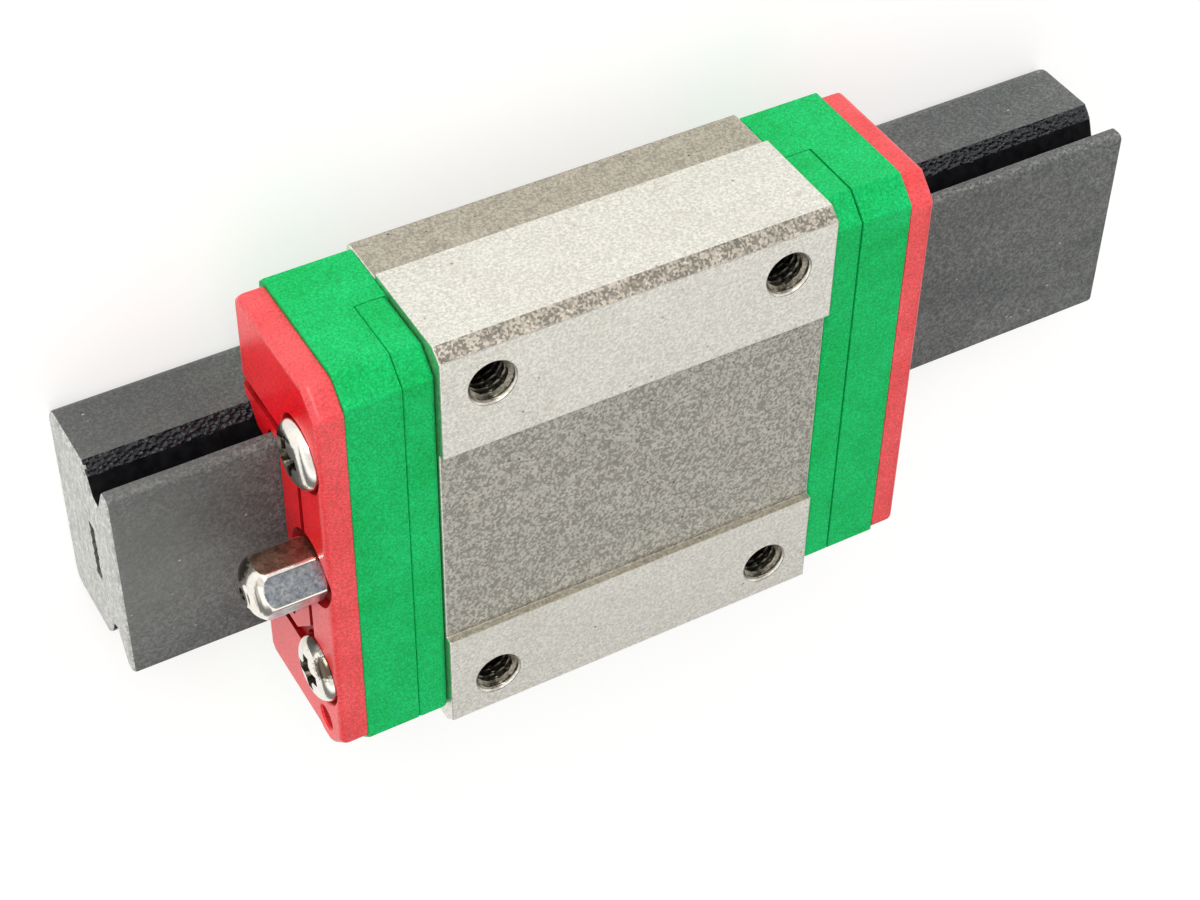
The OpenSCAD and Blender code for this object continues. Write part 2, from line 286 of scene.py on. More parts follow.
def ring_channel(x, y, z, radius, tube):
    """A torus about a vertical axis."""
    segments = 48
    sides = 24
    mesh = bmesh.new()
    rings = []
    for i in range(segments):
        a = 2 * math.pi * i / segments
        ring = []
        for j in range(sides):
            b = 2 * math.pi * j / sides
            reach = radius + tube * math.cos(b)
            place = (x + reach * math.cos(a), y + reach * math.sin(a), z + tube * math.sin(b))
            ring.append(mesh.verts.new(place))
        rings.append(ring)
    for i in range(segments):
        following = rings[(i + 1) % segments]
        for j in range(sides):
            k = (j + 1) % sides
            mesh.faces.new((rings[i][j], following[j], following[k], rings[i][k]))
    bmesh.ops.recalc_face_normals(mesh, faces=mesh.faces)
    return mesh


def tap(x, y):
    """The threaded hole's space: a helical thread with a countersunk mouth and a drill point."""
    segments = 60
    rows_per_turn = 10
    point_depth = 0.7
    mouth_land = 0.05
    low, high = TOP - HOLE_DEPTH, TOP + 0.3
    rows = round((high - low) / THREAD_PITCH * rows_per_turn)
    mesh = bmesh.new()
    rings = []
    for j in range(rows + 1):
        z = low + (high - low) * j / rows
        ring = []
        for i in range(segments):
            turned = i / segments
            phase = ((z - low) / THREAD_PITCH - turned) % 1
            # A flat root, sloping flanks and a flat crest
            crest = max(0, min(1, 1.45 - abs(phase - 0.5) * 4.2))
            radius = THREAD_MAJOR_R + (THREAD_MINOR_R - THREAD_MAJOR_R) * crest
            radius = max(radius, HOLE_MOUTH_R - max(TOP - mouth_land - z, 0))
            angle = 2 * math.pi * turned
            place = (x + radius * math.cos(angle), y + radius * math.sin(angle), z)
            ring.append(mesh.verts.new(place))
        rings.append(ring)
    point = mesh.verts.new((x, y, low - point_depth))
    lid = mesh.verts.new((x, y, high))
    for i in range(segments):
        k = (i + 1) % segments
        for ring, following in zip(rings, rings[1:]):
            mesh.faces.new((ring[i], ring[k], following[k], following[i]))
        mesh.faces.new((rings[0][k], rings[0][i], point))
        mesh.faces.new((rings[-1][i], rings[-1][k], lid))
    bmesh.ops.recalc_face_normals(mesh, faces=mesh.faces)
    return mesh


def as_object(mesh, name):
    """A bmesh in millimetres made into an object in metres."""
    bmesh.ops.scale(mesh, verts=mesh.verts, vec=(MM, MM, MM))
    data = bpy.data.meshes.new(name)
    mesh.to_mesh(data)
    mesh.free()
    made = bpy.data.objects.new(name, data)
    bpy.context.scene.collection.objects.link(made)
    return made


def bake_modifiers(obj):
    """Bakes the object's modifiers into its mesh."""
    bpy.context.view_layer.update()
    graph = bpy.context.evaluated_depsgraph_get()
    data = bpy.data.meshes.new_from_object(obj.evaluated_get(graph), depsgraph=graph)
    obj.modifiers.clear()
    old = obj.data
    obj.data = data
    bpy.data.meshes.remove(old)


def cut(obj, cutters):
    """Cuts the cutters' bmeshes out of obj."""
    for index, cutter in enumerate(cutters):
        tool = as_object(cutter, f"tool_{index}")
        change = obj.modifiers.new("change", "BOOLEAN")
        change.operation = "DIFFERENCE"
        change.solver = "EXACT"
        change.object = tool
        bake_modifiers(obj)
        data = tool.data
        bpy.data.objects.remove(tool)
        bpy.data.meshes.remove(data)


def smooth(obj, angle=SHARP_ANGLE):
    """Smooth shading with sharp edges above the angle, and flat faces kept flat."""
    for face in obj.data.polygons:
        face.use_smooth = True
    obj.data.set_sharp_from_angle(angle=math.radians(angle))
    weighted = obj.modifiers.new("weighted", "WEIGHTED_NORMAL")
    weighted.keep_sharp = True
    weighted.weight = 80
    bake_modifiers(obj)


def settle(obj, body, materials, nodes, choose=None):
    """Gives a piece its materials, its body and the CAD nodes that it stands for."""
    for material in materials:
        obj.data.materials.append(material)
    if choose:
        for face in obj.data.polygons:
            face.material_index = choose(face.center / MM, face.normal)
    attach(obj, body)
    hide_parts(*nodes)


def turn_round(mesh):
    """Moves a piece to the other end of the carriage, as a mirror image in X."""
    bmesh.ops.scale(mesh, verts=mesh.verts, vec=(-1, 1, 1))
    bmesh.ops.reverse_faces(mesh, faces=mesh.faces)


# ---------------------------------------------------------------- materials

class Paint:
    """A Principled material with its procedural inputs. Texture scales are per millimetre."""

    # The colour sockets of a Mix node, which go by number since its other kinds share their names
    MIX_FACTOR, MIX_A, MIX_B, MIX_RESULT = 0, 6, 7, 2
    # The part of a noise's range that most of its surface lies in
    NOISE_RANGE = (0.36, 0.64)

    def __init__(self, name, **sockets):
        self.material = bpy.data.materials.new(name)
        self.material.use_nodes = True
        self.tree = self.material.node_tree
        self.shader = self.tree.nodes["Principled BSDF"]
        self.place = self.tree.nodes.new("ShaderNodeTexCoord").outputs["Object"]
        for socket, value in sockets.items():
            self.shader.inputs[socket.replace("_", " ")].default_value = value

    def node(self, kind, links=(), **settings):
        """A new node, with settings, and with (socket, output or value) pairs as its inputs."""
        made = self.tree.nodes.new("ShaderNode" + kind)
        for key, value in settings.items():
            setattr(made, key, value)
        for socket, source in links:
            if hasattr(source, "links"):
                self.tree.links.new(source, made.inputs[socket])
            else:
                made.inputs[socket].default_value = source
        return made

    def where(self, stretch=(1, 1, 1), turn=(0, 0, 0)):
        """The place on the object in millimetres, stretched and turned."""
        scale = [s / MM for s in stretch]
        links = [("Vector", self.place), ("Scale", scale), ("Rotation", turn)]
        return self.node("Mapping", links).outputs[0]

    def cloud(self, scale, stretch=(1, 1, 1), detail=4, rough=0.55, turn=(0, 0, 0)):
        """Soft noise of this many waves per millimetre."""
        links = [
            ("Vector", self.where(stretch, turn)), ("Scale", scale), ("Detail", detail),
            ("Roughness", rough)
        ]
        return self.node("TexNoise", links).outputs["Fac"]

    def cells(self, scale, stretch=(1, 1, 1)):
        """How far a point is from the middle of its cell."""
        links = [("Vector", self.where(stretch)), ("Scale", scale)]
        return self.node("TexVoronoi", links).outputs["Distance"]

    def speckle(self, scale):
        """A random tone for each small crystal-like cell."""
        links = [("Vector", self.where()), ("Scale", scale)]
        return self.node("TexVoronoi", links).outputs["Color"]

    def level(self, source, low, high, to_low=0.0, to_high=1.0):
        """A source's range from low to high, mapped to another one and clamped there."""
        links = [(0, source), (1, low), (2, high), (3, to_low), (4, to_high)]
        return self.node("MapRange", links).outputs[0]

    def maths(self, operation, a, b):
        return self.node("Math", [(0, a), (1, b)], operation=operation).outputs[0]

    def scaled(self, source, factor):
        return self.maths("MULTIPLY", source, factor)

    def blend(self, factor, a, b, blend_type="MIX"):
        """Colour a where the factor is 0, and colour b where it is 1."""
        links = [(self.MIX_FACTOR, factor), (self.MIX_A, a), (self.MIX_B, b)]
        made = self.node("Mix", links, data_type="RGBA", blend_type=blend_type)
        return made.outputs[self.MIX_RESULT]

    def vary(self, tone, source, low, high):
        """The tone made darker and lighter with a noise, by factors from low to high."""
        factors = self.level(source, *self.NOISE_RANGE, low, high)
        return self.blend(1, tone, factors, "MULTIPLY")

    def near(self, point, low, high):
        """1 within the distance low of a point, in millimetres, fading to 0 at high."""
        apart = self.node("VectorMath", [(0, self.where()), (1, point)], operation="DISTANCE")
        return self.level(apart.outputs["Value"], low, high, 1, 0)

    def axis(self, letter):
        return self.node("SeparateXYZ", [(0, self.where())]).outputs[letter]

    def feed(self, socket, source):
        self.tree.links.new(source, self.shader.inputs[socket])

    def relief(self, height, strength, distance, under=None):
        """A bump of this height in millimetres, on top of another one."""
        links = [("Height", height), ("Strength", strength), ("Distance", distance * MM)]
        bump = self.node("Bump", links)
        if under is not None:
            self.tree.links.new(under, bump.inputs["Normal"])
        return bump.outputs[0]


def ground_steel():
    """Surface-ground steel: fine grinding lines along X, faint stains, dots and scratches."""
    p = Paint("ground_steel", Metallic=1.0)
    lines = p.cloud(3.2, stretch=(0.05, 2.4, 2.4), detail=6, rough=0.7)
    grain = p.cloud(5.5, stretch=(0.7, 1, 1), detail=6, rough=0.85)
    patches = p.cloud(0.28, detail=5, rough=0.6)
    stains = p.level(p.cloud(0.7, detail=7, rough=0.65), 0.62, 0.78)
    tone = p.blend(p.level(lines, 0.3, 0.7), (0.74, 0.72, 0.655, 1), (0.82, 0.805, 0.74, 1))
    tone = p.blend(p.level(patches, 0.4, 0.75, 0, 0.4), tone, (0.68, 0.65, 0.58, 1))
    tone = p.blend(p.scaled(stains, 0.45), tone, (0.45, 0.38, 0.28, 1))
    tone = p.vary(tone, p.speckle(7), 0.9, 1.08)
    dots = p.level(p.cells(0.62), 0.035, 0.075, 0.75, 0)
    tone = p.blend(dots, tone, (0.24, 0.19, 0.14, 1))
    scratches = p.cloud(1.1, stretch=(0.15, 2, 2), detail=9, rough=0.8, turn=(0.2, 0.3, 0.9))
    scratches = p.level(scratches, 0.7, 0.76)
    tone = p.blend(p.scaled(scratches, 0.5), tone, (0.4, 0.38, 0.34, 1))
    p.feed("Base Color", p.vary(tone, grain, 0.78, 1.18))
    p.feed("Roughness", p.level(lines, 0.25, 0.75, 0.3, 0.46))
    p.feed("Normal", p.relief(lines, 0.2, 0.02, p.relief(grain, 0.12, 0.02)))
    return p.material


def raw_steel(name, dark, pale, sparkle):
    """Unground steel: mottled, with fine pits, sparkle and dark dots."""
    p = Paint(name, Metallic=0.9)
    mottle = p.cloud(0.9, stretch=(0.8, 1, 1), detail=9, rough=0.78)
    grain = p.cloud(6, detail=7, rough=0.9)
    pits = p.level(p.cells(3.1), 0.02, 0.2)
    tone = p.blend(p.level(mottle, 0.3, 0.72), dark, pale)
    tone = p.blend(p.level(grain, 0.3, 0.42, 0.8, 0), tone, (0.12, 0.11, 0.085, 1))
    tone = p.vary(tone, p.speckle(6.5), 1 - sparkle, 1 + sparkle)
    dots = p.level(p.cells(0.8), 0.04, 0.08, 0.85, 0)
    tone = p.blend(dots, tone, (0.06, 0.05, 0.04, 1))
    p.feed("Base Color", p.vary(tone, grain, 0.7, 1.3))
    p.feed("Roughness", p.level(grain, 0.2, 0.8, 0.42, 0.66))
    p.feed("Normal", p.relief(pits, 0.2, 0.03, p.relief(grain, 0.5, 0.045)))
    return p.material


def hole_steel():
    """Cut thread: oily, streaked and darker than the faces round it, with painted shade that turns
    it near black deeper in the hole.
    """
    p = Paint("hole_steel", Metallic=1.0)
    streaks = p.cloud(5, stretch=(1, 1, 0.5), detail=5, rough=0.7)
    dark, pale = (0.16, 0.145, 0.115, 1), (0.5, 0.46, 0.37, 1)
    tone = p.blend(p.level(streaks, 0.35, 0.65), dark, pale)
    # Painted shade: near black from 2.1 mm down, fading out towards the mouth.
    deep = p.level(p.axis("Z"), TOP - 2.1, TOP - 0.2)
    p.feed("Base Color", p.blend(deep, (0.02, 0.018, 0.015, 1), tone))
    p.feed("Roughness", p.level(streaks, 0.3, 0.7, 0.22, 0.45))
    return p.material


def moulded(name, deep, pale, roughness, wear=0.22, **sockets):
    """Moulded plastic: an even fine grain, a cloudy tone and pale scuffs."""
    p = Paint(name, **sockets)
    clouds = p.cloud(0.35, detail=3)
    fine = p.cloud(7, detail=5, rough=0.75)
    scuffs = p.cloud(2.2, stretch=(0.25, 1, 1), detail=8, rough=0.75, turn=(0.4, 0.9, 0.6))
    scuffs = p.level(scuffs, 0.64, 0.74)
    scuffed = [min(1, c * 1.4 + 0.06) for c in pale[:3]] + [1]
    tone = p.blend(p.level(clouds, 0.35, 0.65), deep, pale)
    tone = p.vary(p.vary(tone, fine, 0.7, 1.3), p.speckle(8), 0.9, 1.1)
    p.feed("Base Color", p.blend(p.scaled(scuffs, wear), tone, scuffed))
    p.feed("Roughness", p.level(fine, 0.2, 0.8, roughness - 0.07, roughness + 0.09))
    p.feed("Normal", p.relief(fine, 0.14, 0.03, p.relief(clouds, 0.25, 0.12)))
    return p.material


def black_plastic():
    """Extruded charcoal plastic: skin grain, dust, pale scratches, a greasy place, a painted
    highlight along the upper side edges and a painted sheen on the top toward the +X end.
    """
    p = Paint("black_plastic", Specular_IOR_Level=0.5)
    clouds = p.cloud(0.22, stretch=(0.4, 1, 1), detail=5, rough=0.6)
    fine = p.cloud(5, stretch=(0.7, 1, 1), detail=6, rough=0.85)
    dust = p.level(p.cells(0.9, stretch=(0.6, 1, 1)), 0.03, 0.07, 1, 0)
    scratches = p.cloud(1.6, stretch=(0.08, 2.6, 2.6), detail=9, rough=0.8, turn=(0, 0, 0.7))
    scratches = p.level(scratches, 0.68, 0.73)
    dark, pale = (0.078, 0.084, 0.082, 1), (0.125, 0.13, 0.124, 1)
    tone = p.blend(p.level(clouds, 0.35, 0.68), dark, pale)
    tone = p.vary(p.vary(tone, fine, 0.4, 1.65), p.speckle(7), 0.76, 1.24)
    height = p.axis("Z")
    # Painted highlight: a pale band, broken up by the grain, along the rail's sides just under its
    # top edge.
    above_lip = p.level(height, RAIL_TOP - 0.65, RAIL_TOP - 0.5)
    below_edge = p.level(height, RAIL_TOP - 0.3, RAIL_TOP - 0.1, 1, 0)
    lip = p.scaled(above_lip, below_edge)
    tone = p.blend(p.scaled(lip, p.level(fine, 0.5, 0.58, 0, 0.6)), tone, (0.3, 0.3, 0.28, 1))
    # Painted sheen: a paler place on the top toward the +X end, standing in for the sky's
    # reflection there.
    painted_sheen = p.near((31, -1.5, 9.5), 3, 10)
    tone = p.blend(p.scaled(painted_sheen, 0.45), tone, (0.2, 0.205, 0.19, 1))
    greasy = p.near((27, -7.4, 3), 4, 10)
    tone = p.blend(p.scaled(greasy, 0.5), tone, (0.035, 0.037, 0.035, 1))
    tone = p.blend(p.scaled(scratches, 0.3), tone, (0.34, 0.34, 0.32, 1))
    tone = p.blend(p.scaled(dust, 0.7), tone, (0.6, 0.58, 0.52, 1))
    p.feed("Base Color", tone)
    p.feed("Roughness", p.level(fine, 0.25, 0.75, 0.4, 0.56))
    p.feed("Normal", p.relief(fine, 0.35, 0.025))
    return p.material


def black_rough():
    """The torn, glossy skin on the groove's sloping wall."""
    p = Paint("black_rough", Roughness=0.2)
    lumps = p.cells(3.6, stretch=(0.8, 1, 1))
    fine = p.cloud(6, detail=4, rough=0.7)
    dark, pale = (0.003, 0.004, 0.006, 1), (0.026, 0.03, 0.036, 1)
    p.feed("Base Color", p.blend(p.level(fine, 0.35, 0.62), dark, pale))
    p.feed("Normal", p.relief(lumps, 1.0, 0.3, p.relief(fine, 0.8, 0.08)))
    return p.material


def groove_painted_shade():
    """The inside of the groove: painted shade, near black with a faint mottle."""
    p = Paint("groove_painted_shade", Roughness=0.7, Specular_IOR_Level=0.1)
    shade_mottle = p.cloud(1.5, detail=4)
    dark, pale = (0.001, 0.001, 0.002, 1), (0.006, 0.006, 0.007, 1)
    p.feed("Base Color", p.blend(p.level(shade_mottle, 0.35, 0.65), dark, pale))
    return p.material


def black_cut():
    """The sawn ends of the rail: paler, with smeared saw marks."""
    p = Paint("black_cut", Specular_IOR_Level=0.6)
    marks = p.cloud(1.8, stretch=(1, 0.35, 1.6), detail=8, rough=0.75, turn=(0.5, 0, 0))
    flecks = p.cloud(5, detail=6, rough=0.8)
    dark, pale = (0.3, 0.305, 0.285, 1), (0.6, 0.605, 0.57, 1)
    tone = p.blend(p.level(marks, 0.3, 0.66), dark, pale)
    tone = p.blend(p.level(flecks, 0.26, 0.36, 0.8, 0), tone, (0.16, 0.16, 0.15, 1))
    p.feed("Base Color", p.vary(p.vary(tone, flecks, 0.6, 1.36), p.speckle(5), 0.82, 1.18))
    p.feed("Roughness", p.level(flecks, 0.3, 0.7, 0.3, 0.5))
    p.feed("Normal", p.relief(marks, 0.45, 0.05))
    return p.material


def nickel():
    """Bright nickel plate: slightly wavy, with brown and blue tarnish, specks and two dark brown
    places.
    """
    p = Paint("nickel", Metallic=1.0)
    haze = p.cloud(0.9, detail=5, rough=0.6)
    specks = p.cloud(4.5, detail=7, rough=0.75)
    tone = p.blend(p.level(haze, 0.4, 0.62), (0.92, 0.88, 0.78, 1), (0.8, 0.78, 0.74, 1))
    tone = p.blend(p.level(haze, 0.6, 0.72, 0, 0.6), tone, (0.42, 0.3, 0.22, 1))
    tone = p.blend(p.level(haze, 0.3, 0.4, 0.4, 0), tone, (0.48, 0.5, 0.55, 1))
    tone = p.blend(p.level(specks, 0.62, 0.7, 0, 0.8), tone, (0.1, 0.08, 0.05, 1))
    # Two places darkened to a dark brown: one by the +Y front screw's head, one on the nipple's
    # nose.
    dark_places = ((21.1, 7.6, 14.3), (24.9, -1.3, 12.2))
    darkening_reach = 1.3
    for point in dark_places:
        ragged = p.level(specks, 0.3, 0.7, -0.25, 0.25)
        darkening = p.level(p.maths("ADD", p.near(point, 0, darkening_reach), ragged), 0.3, 0.5)
        tone = p.blend(p.scaled(darkening, 0.92), tone, (0.07, 0.045, 0.02, 1))
    p.feed("Base Color", tone)
    p.feed("Roughness", p.level(specks, 0.3, 0.7, 0.08, 0.22))
    p.feed("Normal", p.relief(haze, 0.25, 0.08, p.relief(specks, 0.12, 0.02)))
    return p.material


def worn_nickel(name, dark, pale):
    """Nickel plate with a dull, clouded film, for the nipple's flats and the driver recesses; a
    brown copy is a painted reflection on the nipple's -Y flat, and a near-black copy is painted
    shade in the recesses.
    """
    p = Paint(name, Metallic=1.0)
    film = p.cloud(1.4, detail=6, rough=0.65)
    grain = p.cloud(5, detail=6, rough=0.8)
    tone = p.blend(p.level(film, 0.36, 0.62), dark, pale)
    p.feed("Base Color", p.vary(tone, grain, 0.7, 1.3))
    p.feed("Roughness", p.level(grain, 0.3, 0.7, 0.24, 0.42))
    p.feed("Normal", p.relief(grain, 0.2, 0.02))
    return p.material


def ball_steel():
    """Polished bearing steel with a faint film of oil."""
    p = Paint("ball_steel", Metallic=1.0)
    film = p.cloud(0.8, detail=4)
    dark, pale = (0.72, 0.72, 0.71, 1), (0.8, 0.8, 0.8, 1)
    p.feed("Base Color", p.blend(p.level(film, 0.35, 0.65), dark, pale))
    p.feed("Roughness", p.level(film, 0.3, 0.7, 0.06, 0.14))
    return p.material


GROUND = ground_steel()
RAW = raw_steel("raw_steel", (0.38, 0.365, 0.32, 1), (0.53, 0.515, 0.46, 1), 0.26)
BAND = raw_steel("band_steel", (0.38, 0.345, 0.28, 1), (0.53, 0.49, 0.41, 1), 0.14)
CHAMFER = raw_steel("chamfer_steel", (0.26, 0.235, 0.195, 1), (0.54, 0.49, 0.42, 1), 0.38)
HOLE = hole_steel()
GREEN = moulded("green_plastic", (0.002, 0.41, 0.09, 1), (0.006, 0.47, 0.125, 1), 0.5,
                Specular_IOR_Level=0.14)
RED = moulded("red_plastic", (0.72, 0.045, 0.05, 1), (0.79, 0.07, 0.076, 1), 0.33,
              Specular_IOR_Level=0.5)
# Painted light: a brighter, more saturated copy of the red plastic for the seal's flat front face,
# standing in for its light and its dark reflection of the rail; its scuffs are wear.
RED_FACE_PAINTED_LIGHT = moulded("red_face_painted_light", (0.82, 0.006, 0.012, 1), (0.9, 0.012, 0.022, 1), 0.3, wear=0.75,
                   Specular_IOR_Level=0.5)
# Painted shade: a darker copy of the red plastic for the seal's grooves, pockets and dimple.
RED_PAINTED_SHADE = moulded("red_painted_shade", (0.3, 0.002, 0.004, 1), (0.42, 0.004, 0.008, 1), 0.5,
                   Specular_IOR_Level=0.2)
WHITE = moulded("white_plastic", (0.72, 0.7, 0.64, 1), (0.82, 0.8, 0.75, 1), 0.45)
BLACK = black_plastic()
BLACK_ROUGH = black_rough()
BLACK_CUT = black_cut()
BLACK_PAINTED_SHADE = groove_painted_shade()
NICKEL = nickel()
FLAT = worn_nickel("nipple_flat", (0.56, 0.6, 0.68, 1), (0.8, 0.84, 0.86, 1))
# Painted reflection: a brown copy of the dull nickel for the nipple's -Y flat.
FLAT_PAINTED_REFLECTION = worn_nickel("nipple_flat_painted_reflection", (0.2, 0.13, 0.09, 1), (0.42, 0.31, 0.22, 1))
# Painted shade: a near-black copy of the dull nickel for the screws' driver recesses.
RECESS_PAINTED_SHADE = worn_nickel("driver_recess_painted_shade", (0.008, 0.006, 0.004, 1), (0.17, 0.15, 0.115, 1))
BALL_STEEL = ball_steel()


# ---------------------------------------------------------------- pieces

def cap_opening():
    """The space for the rail through a cap and its guide."""
    outline = [
        (CAP_OPEN_HALF, 0, 0), (CAP_OPEN_HALF, CAP_OPEN_TOP - SLOT_CORNER, 0),
        (CAP_OPEN_HALF - SLOT_CORNER, CAP_OPEN_TOP, 0)
    ]
    return prism(mirrored(outline), [(HALF_L - PAST, 0), (CAP_HIGH.x + PAST, 0)])


def end_piece(name, mesh, cutters, front, in_place=(), angle=SHARP_ANGLE):
    """A piece of the front end, or its mirror image at the rear end, cut and shaded.

    The cutters are mirrored with it, except those that are in place already.
    """
    if not front:
        for part in [mesh] + cutters:
            turn_round(part)
    obj = as_object(mesh, name)
    cut(obj, [*cutters, *in_place])
    smooth(obj, angle)
    return obj


def race_arc():
    """The ball race in the slot's +Y wall, from its upper edge to its lower one."""
    arc = []
    steps = 14
    reach = math.degrees(math.acos((SLOT_HALF - LOAD_Y) / RACE_R))
    for k in range(steps + 1):
        angle = math.radians(reach - 2 * reach * k / steps)
        arc.append((LOAD_Y + RACE_R * math.cos(angle), TRACK_Z + RACE_R * math.sin(angle), 0))
    return arc


def make_block():
    """The steel block with its slot and races, its tapped holes and its drillings."""
    edge = 0.1
    edge_steps = 3
    half = [(SLOT_HALF - SLOT_CORNER, SLOT_TOP, 0), (SLOT_HALF, SLOT_TOP - SLOT_CORNER, 0)]
    half += race_arc()
    half += [
        (SLOT_HALF, FOOT, 0.05), (FOOT_BAND_Y, FOOT, FOOT_ROUND),
        (FOOT_BAND_Y, FOOT_BAND_TOP - 0.12, 0.05), (HALF_W, FOOT_BAND_TOP, 0.08),
        (HALF_W, TOP - CHAMFER_Z, edge), (HALF_W - CHAMFER_Y, TOP, edge),
        (LAND_INNER, TOP, 0.06), (LAND_INNER - 0.06, TOP - RECESS_DEPTH, 0.08)
    ]
    low_end = round_end(-HALF_L, edge, -1, edge_steps)
    high_end = round_end(HALF_L, edge, 1, edge_steps)
    obj = as_object(prism(mirrored(half), low_end + high_end, edge_steps), "block")
    cutters = [tap(x, y) for x in (-HOLE_X, HOLE_X) for y in (-HOLE_Y, HOLE_Y)]
    for side in (-1, 1):
        cutters.append(rod(-HALF_L - PAST, HALF_L + PAST, side * RETURN_Y, TRACK_Z, RETURN_HOLE_R))
        for end in (-1, 1):
            x = sorted((end * (HALF_L - SCREW_BORE_DEPTH), end * (HALF_L + PAST)))
            cutters.append(rod(x[0], x[1], side * SCREW_Y, SCREW_Z, SCREW_SHANK_R))
    cut(obj, cutters)
    smooth(obj)
    ground, raw, hole, band, chamfer = range(5)
    slack = 0.05

    def choose(centre, normal):
        from_hole = math.hypot(abs(centre.x) - HOLE_X, abs(centre.y) - HOLE_Y)
        in_hole = from_hole < HOLE_MOUTH_R + 0.02 and centre.z > TOP - HOLE_DEPTH - 1
        if in_hole and abs(normal.z) < 0.99:
            return ground if from_hole > THREAD_MAJOR_R + 0.02 else hole
        on_land = normal.z > SQUARE_ON and centre.z > TOP - 2 * slack
        on_side = abs(normal.y) > SQUARE_ON and abs(centre.y) > HALF_W - slack
        on_end = abs(normal.x) > SQUARE_ON
        beside_slot = abs(centre.y) < LOAD_Y + RACE_R + 0.15 and abs(normal.x) < 0.1
        in_race = beside_slot and FOOT + 0.5 < centre.z < SLOT_TOP - 1.5
        if on_land or on_side or on_end or in_race:
            return ground
        if abs(centre.y) > HALF_W - CHAMFER_Y - slack and centre.z > TOP - CHAMFER_Z - slack:
            on_chamfer = abs(normal.z - CHAMFER_FACE_Z) < 0.04 and abs(normal.x) < 0.3
            return chamfer if on_chamfer else ground
        if abs(normal.x) > 0.2:
            return ground
        return raw if normal.z > SQUARE_ON else band

    materials = [GROUND, RAW, HOLE, BAND, CHAMFER]
    settle(obj, "carriage", materials, ["steel_block"], choose)


def make_cap(name, node, front):
    """A plastic end cap with its turn-round channels, screw holes and grease port."""
    half, top, foot = CAP_HIGH.y, CAP_HIGH.z, CAP_LOW.z
    corner_round = 0.2
    outline = mirrored([
        (half - FOOT_CUT, foot, 0.15), (half, foot + FOOT_CUT, 0.15),
        (half, top - CAP_CHAMFER, corner_round), (half - CAP_CHAMFER, top, corner_round)
    ])
    edge = 0.12
    mesh = prism(outline, round_end(HALF_L, edge, -1) + round_end(CAP_HIGH.x, edge, 1))
    guide_low = (HALF_L - PAST, -half - PAST, GUIDE_FOOT)
    guide_high = (GUIDE_HIGH.x, half + PAST, top + PAST)
    cutters = [block(guide_low, guide_high), cap_opening()]
    for side in (-1, 1):
        cutters.append(rod(HALF_L - PAST, CAP_HIGH.x + PAST, side * SCREW_Y, SCREW_Z, SCREW_HOLE_R))
        cutters.append(ring_channel(HALF_L, side * TURN_Y, TRACK_Z, TURN_R, TURN_TUBE_R))
    cutters.append(rod(GUIDE_HIGH.x + 0.2, CAP_HIGH.x + PAST, 0, PORT_Z, PORT_R))
    obj = end_piece(name, mesh, cutters, front)
    settle(obj, "carriage", [GREEN], [node])


def make_guide(name, node, front):
    """The inner return guide, with a fine seam to its cap, and a pinhole in the rear one."""
    half, top = CAP_HIGH.y, CAP_HIGH.z
    corner_round = 0.2
    outline = mirrored([
        (half, GUIDE_FOOT, 0.1), (half, top - CAP_CHAMFER, corner_round),
        (half - CAP_CHAMFER, top, corner_round)
    ])
    steel_side = [(HALF_L, 0.42), (HALF_L + 0.1, 0.2), (HALF_L + 0.25, 0.06), (HALF_L + 0.42, 0)]
    seam = 0.07
    mesh = prism(outline, steel_side + round_end(GUIDE_HIGH.x - seam, 0.15, 1))
    cutters = [cap_opening()]
    for side in (-1, 1):
        hole_end = GUIDE_HIGH.x + PAST
        cutters.append(rod(HALF_L - PAST, hole_end, side * SCREW_Y, SCREW_Z, SCREW_HOLE_R))
    pinhole_y, pinhole_z, pinhole_r = -14.5, 14.1, 0.3
    pinhole = [] if front else [rod(-14.3, -13.0, pinhole_y, pinhole_z, pinhole_r)]
    obj = end_piece(name, mesh, cutters, front, pinhole)
    settle(obj, "carriage", [GREEN], [node])


def rail_outline(grow, tongue=0.0, rough_steps=0):
    """The rail's section, grown by a gap; the sloping groove wall may be cut into steps."""
    half = RAIL_HALF_W + grow
    corner = max(RAIL_FOOT_ROUND - grow, 0.2)
    wall_low = Vector((half, WALL_FOOT_Z + grow / 2))
    knee = Vector((KNEE_Y + grow, KNEE_Z))
    wall = [wall_low.lerp(knee, k / (rough_steps + 1)) for k in range(rough_steps + 2)]
    right = [(half, -grow, corner)]
    right += [(p.x, p.y, 0.12 if k == 0 else 0) for k, p in enumerate(wall)]
    right += [
        (GROOVE_LOW_Y + tongue + grow, GROOVE_LOW_Z - grow, 0),
        (GROOVE_HIGH_Y + tongue + grow, GROOVE_HIGH_Z + grow / 2, 0),
        (GROOVE_MOUTH_Y + grow / 2, GROOVE_MOUTH_Z - grow, 0.1),
        (half, GROOVE_MOUTH_Z + 0.1 - grow, 0.1), (half, RAIL_TOP + grow, 0.5)
    ]
    return mirrored(right)


def lip_groove(face):
    """The shallow groove that follows the rail opening with cut corners."""
    def path(grow):
        half, top, corner = LIP_HALF + grow * 1.6, LIP_TOP + grow, LIP_CORNER
        return mirrored([(half, 0, 0), (half, top - corner, 0.2), (half - corner, top, 0.2)])

    groove_width = 0.5
    sections = [(face - LIP_DEPTH, 0), (face + PAST, 0)]
    return prism(path(groove_width) + path(0)[::-1], sections)


